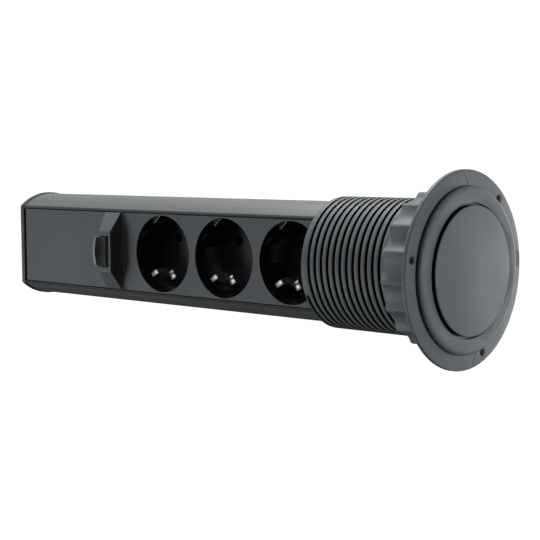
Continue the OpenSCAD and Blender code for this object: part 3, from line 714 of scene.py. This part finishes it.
cutter = bmesh.new()
for turn in HOLE_TURNS:
    drill_at = on_flange(HOLE_PCD_R, turn, FLANGE_T + HOLE_SKIN)
    add_cone(cutter, HOLE_R, HOLE_R, 2 * FLANGE_T, drill_at, HOLE_STEPS)
    sink_at = on_flange(HOLE_PCD_R, turn, FLANGE_T)
    add_cone(cutter, SINK_LOW_R, SINK_HIGH_R, SINK_DEEP, sink_at, HOLE_STEPS)
for line in HAIRLINES:
    path = [cutter.verts.new(on_flange(r, turn, FLANGE_T - LINE_DEEP)) for r, turn in line]
    low = [cutter.edges.new(pair) for pair in zip(path, path[1:])]
    rise = bmesh.ops.extrude_edge_only(cutter, edges=low)["geom"]
    top = [v for v in rise if isinstance(v, bmesh.types.BMVert)]
    bmesh.ops.translate(cutter, vec=(0, 0, LINE_RISE * MM), verts=top)
    ribbon = [f for f in rise if isinstance(f, bmesh.types.BMFace)]
    bmesh.ops.recalc_face_normals(cutter, faces=ribbon)
    bmesh.ops.solidify(cutter, geom=ribbon, thickness=LINE_WIDE * MM)
bmesh.ops.recalc_face_normals(cutter, faces=cutter.faces)
print("cutter faces", len(cutter.faces))
knife = make_object(cutter, "knife", [grey_plastic])

# %% Sleeve: catch way and the cut
WAY_R, WAY_HALF = 29.5, 8.2
WAY_LEN = SLEEVE_LEN + 1
way = bmesh.new()
add_cone(way, WAY_R, WAY_R, WAY_LEN, Vector((0, 0, -WAY_LEN / 2)) * MM, TURN_STEPS)
for at, outward in (((-WAY_HALF, 0, 0), (-1, 0, 0)), ((WAY_HALF, 0, 0), (1, 0, 0)),
                    ((0, 0, 0), (0, 1, 0))):
    slice_mesh(way, at, outward, drop=True)
    bmesh.ops.holes_fill(way, edges=[e for e in way.edges if e.is_boundary], sides=0)
bmesh.ops.recalc_face_normals(way, faces=way.faces)
way_knife = make_object(way, "way_knife", [grey_plastic])


def cut_away(piece, *knives):
    """Takes the knives out of a piece for good and removes them."""
    for tool in knives:
        cut = piece.modifiers.new(tool.name, "BOOLEAN")
        cut.operation = "DIFFERENCE"
        cut.solver = "EXACT"
        cut.object = tool
    graph = bpy.context.evaluated_depsgraph_get()
    done = bpy.data.meshes.new_from_object(piece.evaluated_get(graph))
    piece.modifiers.clear()
    piece.data = done
    for tool in knives:
        bpy.data.objects.remove(tool)
    done.set_sharp_from_angle(angle=math.radians(SHARP_ANGLE))


def in_screw_hole(point):
    """Whether a point is on the wall or the skin of a screw hole, below its countersink: the faces that
    get painted shade.
    """
    offs = [(point - on_flange(HOLE_PCD_R, turn, 0)) / MM for turn in HOLE_TURNS]
    below = FLANGE_T - 0.45
    return any(radius_of(off) < HOLE_R + 0.05 and HOLE_SKIN / 2 < off.z < below for off in offs)


cut_away(sleeve, knife, way_knife)
# Walls and skins of the screw holes get the dark groove finish: painted shade.
for face in sleeve.data.polygons:
    if in_screw_hole(face.center):
        face.material_index = 1
fit_piece(sleeve, "flange_sleeve")

# %% [markdown]
# ## Clamp nut
# A plastic ring with seventeen hand lobes. The ring is turned with small radii on its edges and then
# carved: each outer vertex moves in by the depth of the round hollow at its angle, which keeps the
# edge radius all round the lobes. A Boolean with seventeen cylinders would leave knife edges.

# %% Nut
NUT_R, NUT_BORE_R = 34.58, 31.08
NUT_LOW, NUT_HIGH = -18.5, -5.0
BORE_EDGE = 0.4
LOW_ROUND = ((0.8, 0), (0.4, 0.1), (0.1, 0.35), (0, 0.8))
HIGH_ROUND = ((0, 0.6), (0.15, 0.15), (0.6, 0))
LOBES = 17
HOLLOW_R, HOLLOW_DEPTH = 9.6, 2.3
CREST_SOFT = 0.12
LOBE_STEPS = 24
NUT_TURN = math.radians(-4.4)
NUT_SHARP = 40
bm = bmesh.new()
turn_section(bm, [(NUT_BORE_R, NUT_LOW + BORE_EDGE), (NUT_BORE_R + BORE_EDGE, NUT_LOW),
                  *rounded_corner(NUT_R, NUT_LOW, -1, 1, LOW_ROUND),
                  *rounded_corner(NUT_R, NUT_HIGH, -1, -1, HIGH_ROUND),
                  (NUT_BORE_R + BORE_EDGE, NUT_HIGH), (NUT_BORE_R, NUT_HIGH - BORE_EDGE)],
             LOBES * LOBE_STEPS, closed=True)


def hollow_depth(turn):
    """How far a hollow goes in at this turn, in millimetres, with soft shoulders at its crests."""
    apart = FULL_TURN / LOBES
    away = (turn - NUT_TURN + math.pi / 2 + apart / 2) % apart - apart / 2
    centre = NUT_R - HOLLOW_DEPTH + HOLLOW_R
    reach = HOLLOW_R ** 2 - (centre * math.sin(away)) ** 2
    if reach <= 0:
        return 0.0
    depth = NUT_R - (centre * math.cos(away) - math.sqrt(reach))
    return 0.0 if depth < 0 else depth ** 2 / (depth + CREST_SOFT)


for vert in bm.verts:
    r = radius_of(vert.co) / MM
    if r > NUT_BORE_R + 2 * BORE_EDGE:
        inward = (r - hollow_depth(math.atan2(vert.co.y, vert.co.x))) / r
        vert.co.x *= inward
        vert.co.y *= inward
bmesh.ops.recalc_face_normals(bm, faces=bm.faces)
fit_piece(make_object(bm, "lobed_nut", [grey_plastic], sharp=NUT_SHARP), "clamp_nut")

# %% [markdown]
# ## Pull ring and lid
# The ring's outer shoulder is a flat ellipse in the photograph rather than a plain quarter round. The
# CAD solid has all the rest, with its screw seats and its spigot, so a merged copy of it is taken and
# only the shoulder's vertices are moved out along that ellipse. Its inner lip gets a fine radius, and
# the rim comes down until the finger gap under it shows as the thin dark line of the photograph. The
# lid in the ring stands a little proud, and its side gets painted shade, as dark as the gap round it.

# %% Ring and lid
RING_R, RING_TOP = 37.0, 4.9
RING_INNER_R = 30.0
RING_SHARP = 35
SHOULDER_R = 1.5
SHOULDER_WIDE = 2.3
RIM_LOW, RIM_SHOWN, RIM_REACH = 3.4, 2.6, 3.0
LID_LOW = 4.0
RING_SOFT, LID_SOFT = 0.25, 0.1
CLOSE = 0.01


def on_inner_lip(edge):
    """Whether an edge is the ring's top corner round the lid."""
    return all(near(v.co.z / MM, RING_TOP, CLOSE) and radius_of(v.co) / MM < RING_INNER_R
               for v in edge.verts)


bm = merged_copy("cap_ring")
soften(bm, RING_SOFT, chosen=on_inner_lip)
round_start = RING_R - SHOULDER_R
for vert in bm.verts:
    r = radius_of(vert.co) / MM
    if r > round_start - CLOSE and vert.co.z / MM > RING_TOP - SHOULDER_R - CLOSE:
        wider = (RING_R - SHOULDER_WIDE + (r - round_start) / SHOULDER_R * SHOULDER_WIDE) / r
        vert.co.x *= wider
        vert.co.y *= wider
    if r > RING_R - RIM_REACH and near(vert.co.z / MM, RIM_LOW, CLOSE):
        vert.co.z = RIM_SHOWN * MM
fit_piece(make_object(bm, "pull_ring", [grey_plastic], sharp=RING_SHARP), "cap_ring")

bm = merged_copy("lid_disc")
soften(bm, LID_SOFT, chosen=lambda e: middle(e).z > LID_LOW)
# The lid's side faces get the dark groove finish: painted shade.
print("lid side faces", finish_faces(bm, lambda at, n: abs(n.z) < SIDE_ON))
fit_piece(make_object(bm, "lid", [grey_plastic, groove_shade]), "lid_disc")

# %% [markdown]
# ## Panels and shell
# These solids already have the right shapes, and what they lack is the radius on their edges, which
# is what makes a seam read as a dark line with a light beside it. Only the edges that show are
# rounded, chosen by where they lie. The faces inside the seams get painted shade: the dark finish of a
# groove, and on the front panel the wells' black plastic. The wall of each round hole in the front
# panel gets the wells' black plastic too.

# %% Front panels
FACE_Y, PANEL_BACK = -18.997, -16.997
PANEL_HALF, PANEL_GAP = 20.839, 0.4
WELL_AT = (-83.1, -127.1, -171.1)
WELL_R = 19.75
PANEL_SOFT, HOUSING_SOFT = 0.22, 0.35


def at_front(edge):
    """Whether an edge lies in the flat front of the tower."""
    return at_depth(edge, FACE_Y)


def on_catch_housing(edge):
    """Whether an edge lies in the front or stands out from it."""
    return at_front(edge) or middle(edge).y < FACE_Y - 0.4


def in_seam(at, normal):
    """Whether a face is a panel's side or the front of its tongue, down in the seam."""
    beside = abs(at.x) > PANEL_HALF - PANEL_GAP - 0.05
    return beside and at.y > FACE_Y + 0.2 and (abs(normal.x) > SQUARE_ON or normal.y < -SQUARE_ON)


def in_well_hole(at, normal):
    """Whether a face is the wall of one of the panel's round holes."""
    beside = any(math.hypot(at.x, at.z - z) < WELL_R + 0.1 for z in WELL_AT)
    return beside and abs(normal.y) < SIDE_ON


bm = merged_copy("socket_panel")
soften(bm, PANEL_SOFT, chosen=at_front)
# The hole walls get the wells' black; the seam faces get it as painted shade.
walls = finish_faces(bm, in_well_hole) + finish_faces(bm, in_seam)
print("dark walls", walls, "open edges", open_edges(bm))
fit_piece(keep_flats(make_object(bm, "front_panel", [panel_plastic, well_plastic])), "socket_panel")

bm = merged_copy("latch_panel")
soften(bm, HOUSING_SOFT, 3, chosen=on_catch_housing)
# The seam faces get the dark groove finish: painted shade.
print("seam faces", finish_faces(bm, in_seam), "open edges", open_edges(bm))
fit_piece(keep_flats(make_object(bm, "catch_panel", [panel_plastic, groove_shade])), "latch_panel")

# %% [markdown]
# The shell's front lips are rounded over far enough to read as a darker line beside each seam. The
# radius is wider than the flat of the lip, so a bevel can't make it. The copy is sliced along the lip
# and the slices are laid on an arc instead. Their finish is a dull one, darker than the shell: painted
# shade. The shell's faces in the seams get painted shade too.

# %% Shell
TOWER_R = 28.6
LIP_ROUND = 2.7
LIP_START = 20.18
SLICE_FIRST, SLICE_STEP, SLICES = 20.95, 0.2, 7
LIP_SLICES = [SLICE_FIRST + SLICE_STEP * k for k in range(SLICES)]


def on_lip(at, normal):
    """Whether a face is one of the slices of the rounded front lips."""
    return PANEL_HALF < abs(at.x) < LIP_SLICES[-1] and at.y < FACE_Y + LIP_ROUND and normal.y < -0.4


def in_shell_seam(at, normal):
    """Whether a face is the shell's side of a seam."""
    between = abs(at.x) < PANEL_HALF + 0.02 and FACE_Y < at.y < PANEL_BACK
    return between and abs(normal.x) > SQUARE_ON


bm = merged_copy("tower_profile")
for x in LIP_SLICES:
    for side in (-1, 1):
        slice_mesh(bm, (side * x, 0, 0), (1, 0, 0))
moved = 0
for vert in bm.verts:
    x, y = abs(vert.co.x) / MM, vert.co.y / MM
    outside = near(y, FACE_Y) or y < 0 and math.hypot(x, y) > TOWER_R - 0.3
    if outside and PANEL_HALF - CLOSE < x < LIP_SLICES[-1] + CLOSE:
        vert.co.y = (FACE_Y + LIP_ROUND - math.sqrt(LIP_ROUND ** 2 - (x - LIP_START) ** 2)) * MM
        moved += 1
# The seam faces and the rounded lips get painted shade.
print("lip vertices", moved, "seam faces", finish_faces(bm, in_shell_seam),
      "lip faces", finish_faces(bm, on_lip, finish=2), "open edges", open_edges(bm))
fit_piece(make_object(bm, "shell", [shell_metal, groove_shade, lip_painted_shade]), "tower_profile")

# %% [markdown]
# ## Catch button
# The button is moulded with a straight catch lip at its lower edge, painted paler as a highlight, and
# a hollow for the thumb that runs in under the housing, where the hollow's upper part gets painted
# shade for the gap. The CAD solid's face is sliced into a fine net and its vertices are laid on a
# formula, which a sculpted hollow or a Boolean would not give as evenly.

# %% Button
BUTTON_LOW, BUTTON_TOP = -213.95, -204.95
LIP_R, LIP_EDGE = 29.35, 1.8
FACE_DEEP, FACE_CURVE = -25.2, 2.2
FACE_RISES = (0, 0.3, 0.8, 1.5, 2.3, 3.2, 4.2, 5.6)
COLUMN_STEP, COLUMNS_EACH_SIDE = 1.3, 5
FACE_COLUMNS = [COLUMN_STEP * k for k in range(-COLUMNS_EACH_SIDE, COLUMNS_EACH_SIDE + 1)]
GAP_RISE = 4.2
EDGE_FRONT, RIM_FRONT = -25.6, -26.3
BUTTON_SOFT = 0.3
FACE_LOW = BUTTON_LOW + LIP_EDGE


def button_face(x, z):
    """Depth of the button's face: round along the lip, then a hollow that runs in to its top."""
    lip = -math.sqrt(LIP_R ** 2 - x ** 2)
    up = (z - FACE_LOW) / (BUTTON_TOP - FACE_LOW)
    return lip if up <= 0 else FACE_DEEP + (lip - FACE_DEEP) * (1 - up) ** FACE_CURVE


def on_thumb_side(face):
    """Whether a face belongs to the side of the button that shows."""
    return face.normal.y < -SIDE_ON and face.calc_center_median().y / MM < FACE_DEEP + 0.4


bm = merged_copy("latch_button")
for rise in FACE_RISES:
    slice_mesh(bm, (0, 0, FACE_LOW + rise), (0, 0, 1))
for x in FACE_COLUMNS:
    slice_mesh(bm, (x, 0, 0), (1, 0, 0))
for vert in {v for face in bm.faces if on_thumb_side(face) for v in face.verts}:
    vert.co.y = button_face(vert.co.x / MM, vert.co.z / MM) * MM
bm.normal_update()
soften(bm, BUTTON_SOFT, 3, chosen=lambda e: middle(e).y < EDGE_FRONT)
# The catch lip's faces get the paler finish: a painted highlight.
rim = finish_faces(bm, lambda at, n: at.z < FACE_LOW + 0.1 and at.y < RIM_FRONT)
# The hollow's upper faces, in the gap under the housing, get the dark groove finish: painted shade.
gap = finish_faces(bm, lambda at, n: at.z > FACE_LOW + GAP_RISE and n.y < -0.5, finish=2)
print("rim faces", rim, "gap faces", gap, "open edges", open_edges(bm))
fit_piece(make_object(bm, "catch_button", [button_plastic, lip_painted_highlight, groove_shade]), "latch_button")

# %% [markdown]
# ## Catch spring
# The coil behind the button shortens when the button goes in. A stiff coil would run into its plate.
# Here a merged copy of the solid takes the coil's place on its own body, the ends of the coil from
# front to back are found, and the copy gets a mesh of its own.

# %% Catch spring
bm = merged_copy("latch_spring")
spring = make_object(bm, "catch_spring", [FINISHES[node_slot["latch_spring"]]])
fit_piece(spring, "latch_spring")
coil_ends = [end(v.co.y for v in spring.data.vertices) for end in (min, max)]
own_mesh(spring)

# %% [markdown]
# ## Foot
# A cap closes the tower's lower end and holds the inlet bush. Both could be turned and cut, but the
# CAD solids already have the flat front, the stop lip and the screw seats, so they are softened
# copies. On the cap only the outer rim gets a radius, the cap's grey is made darker as painted shade,
# and what lies inside the foot gets painted shade too.

# %% Foot cap and bush
FOOT_Z = -286.95
FOOT_SOFT, BUSH_SOFT = 0.2, 0.4


def on_foot_rim(edge):
    """Whether an edge is an outer corner of the foot's cap."""
    at = middle(edge)
    return at.z < FOOT_Z + 0.05 and (at_front(edge) or radius_of(at) > TOWER_R - 0.2)


bm = merged_copy("end_cap")
soften(bm, FOOT_SOFT, chosen=on_foot_rim)
# Faces inside the foot get the dark groove finish: painted shade.
inside = finish_faces(bm, lambda at, n: at.z > FOOT_Z + 0.02)
print("faces inside the foot", inside, "open edges", open_edges(bm))
fit_piece(make_object(bm, "foot_cap", [foot_painted_shade, groove_shade]), "end_cap")

bm = merged_copy("inlet_bush")
soften(bm, BUSH_SOFT, 3)
fit_piece(make_object(bm, "cable_bush", [bush_rubber]), "inlet_bush")

# %% [markdown]
# ## Wells
# Each well is a black moulded cup with two guide ledges, two pin holes and two slots for the clips. In
# a cup this dark only rims catch light. So the copy of the solid gets a radius on the ledges' straight
# edges, with a painted highlight on one side, and a finer one round the holes in its floor. The
# ledges' flat tops get painted shade. A cup built anew would only repeat the solid.

# %% Wells
FLOOR_Y, LEDGE_Y = -1.497, -15.997
SOCKET_TURN = math.radians(-40)
LEDGE_FLAT = 17.5
LEDGE_SOFT, HOLE_SOFT = 0.32, 0.18


def on_ledge(edge, well_z):
    """Whether an edge is the straight rim of a guide ledge, across the line of the pin holes."""
    at = middle(edge)
    along_pins = at.x * math.cos(SOCKET_TURN) - (at.z - well_z) * math.sin(SOCKET_TURN)
    return at_depth(edge, LEDGE_Y) and near(abs(along_pins), LEDGE_FLAT)


def is_highlit_rim(at, normal):
    """Whether a face is part of a rounded rim on the side that gets a painted highlight."""
    return at.x < 0 and near(at.y, LEDGE_Y, 0.3) and 0.1 < abs(normal.y) < 0.95


def is_ledge_top(at, normal):
    """Whether a face is the flat top of a ledge."""
    return near(at.y, LEDGE_Y) and normal.y < -0.95


for k, well_z in enumerate(WELL_AT, 1):
    bm = merged_copy(f"socket_insert_{k}")
    soften(bm, LEDGE_SOFT, chosen=lambda e: on_ledge(e, well_z))
    highlit = finish_faces(bm, is_highlit_rim)
    soften(bm, HOLE_SOFT, chosen=lambda e: at_depth(e, FLOOR_Y))
    # The ledges' flat tops get the dark groove finish: painted shade.
    tops = finish_faces(bm, is_ledge_top, finish=2)
    print("well", k, "worn rims", highlit, "ledges", tops, "open edges", open_edges(bm))
    well = make_object(bm, f"well_{k}", [well_plastic, rim_painted_highlight, groove_shade])
    fit_piece(keep_flats(well), f"socket_insert_{k}")

# %% [markdown]
# ## Earth clips
# Each well's earth strap is one pressed strip behind the floor. Its two ends rise through slots as
# sprung clips that narrow upwards and end in a tab bent out to the wall. A clip is drawn as a sheet
# along its path, edge by edge, and given the strip's thickness. Beside each clip's foot lie two small
# lugs that hold it down on the floor.

# %% Earth clips
FLOOR_BACK = 1.003
STRIP_T = 0.8
STRIP_HALF = (2.5, STRIP_T / 2, 17.2)
CLIP_EDGE = 0.08
# Each lug has a middle and half sizes.
LUGS = (((3.9, FLOOR_Y - 0.75, -16.1), (1.5, 0.3, 1.4)),
        ((1.6, FLOOR_Y - 0.9, -15.1), (0.75, 0.3, 1.0)))
LUG_TILT = Matrix.Rotation(math.radians(-25), 4, "X")
# Each point of a clip's path has a depth, a radius from the well's axis and half the strip's width.
CLIP_PATH = ((FLOOR_BACK + 0.3, 16.4, 2.5), (FLOOR_Y - 2.5, 16.4, 2.5), (FLOOR_Y - 6.0, 16.1, 2.3),
             (FLOOR_Y - 8.6, 15.55, 1.7), (FLOOR_Y - 9.5, 15.45, 1.45), (FLOOR_Y - 10.1, 15.8, 1.35),
             (FLOOR_Y - 11.5, 18.9, 1.25))


def add_plate(bm, at, half, place, tilt=Matrix()):
    """A flat plate of the given half sizes at a point, both in millimetres, tilted where it lies."""
    shape = Matrix.Diagonal((*(2 * size * MM for size in half), 1))
    moved = Matrix.Translation(Vector(at) * MM)
    bmesh.ops.create_cube(bm, size=1, matrix=place @ moved @ tilt @ shape)


def add_clip(bm, place):
    """One clip: a sheet drawn along the path, then thickened."""
    known = set(bm.verts)
    depth, r, half = CLIP_PATH[0]
    ends = [bm.verts.new((side * half * MM, depth * MM, -r * MM)) for side in (-1, 1)]
    last = bm.edges.new(ends)
    sheet = []
    for depth, r, half in CLIP_PATH[1:]:
        grown = bmesh.ops.extrude_edge_only(bm, edges=[last])["geom"]
        ends = [g for g in grown if isinstance(g, bmesh.types.BMVert)]
        for vert in ends:
            vert.co = Vector((math.copysign(half, vert.co.x), depth, -r)) * MM
        last = bm.edges.get(ends)
        sheet += [g for g in grown if isinstance(g, bmesh.types.BMFace)]
    bmesh.ops.recalc_face_normals(bm, faces=sheet)
    bmesh.ops.solidify(bm, geom=sheet, thickness=STRIP_T * MM)
    fresh = [v for v in bm.verts if v not in known]
    print("clip radius", [round(-end(v.co.z for v in fresh) / MM, 2) for end in (max, min)])
    bmesh.ops.transform(bm, matrix=place, verts=fresh)


for k, well_z in enumerate(WELL_AT, 1):
    bm = bmesh.new()
    for half_turn in (0, math.pi):
        turned = Matrix.Rotation(SOCKET_TURN + half_turn, 4, "Y")
        place = Matrix.Translation((0, 0, well_z * MM)) @ turned
        add_clip(bm, place)
        for at, half in LUGS:
            add_plate(bm, at, half, place, LUG_TILT)
    add_plate(bm, (0, FLOOR_BACK + STRIP_T / 2, 0), STRIP_HALF, place)
    bmesh.ops.recalc_face_normals(bm, faces=bm.faces)
    soften(bm, CLIP_EDGE)
    print("strap", k, "open edges", open_edges(bm))
    fit_piece(make_object(bm, f"earth_clips_{k}", [clip_metal]), f"earth_strap_{k}")
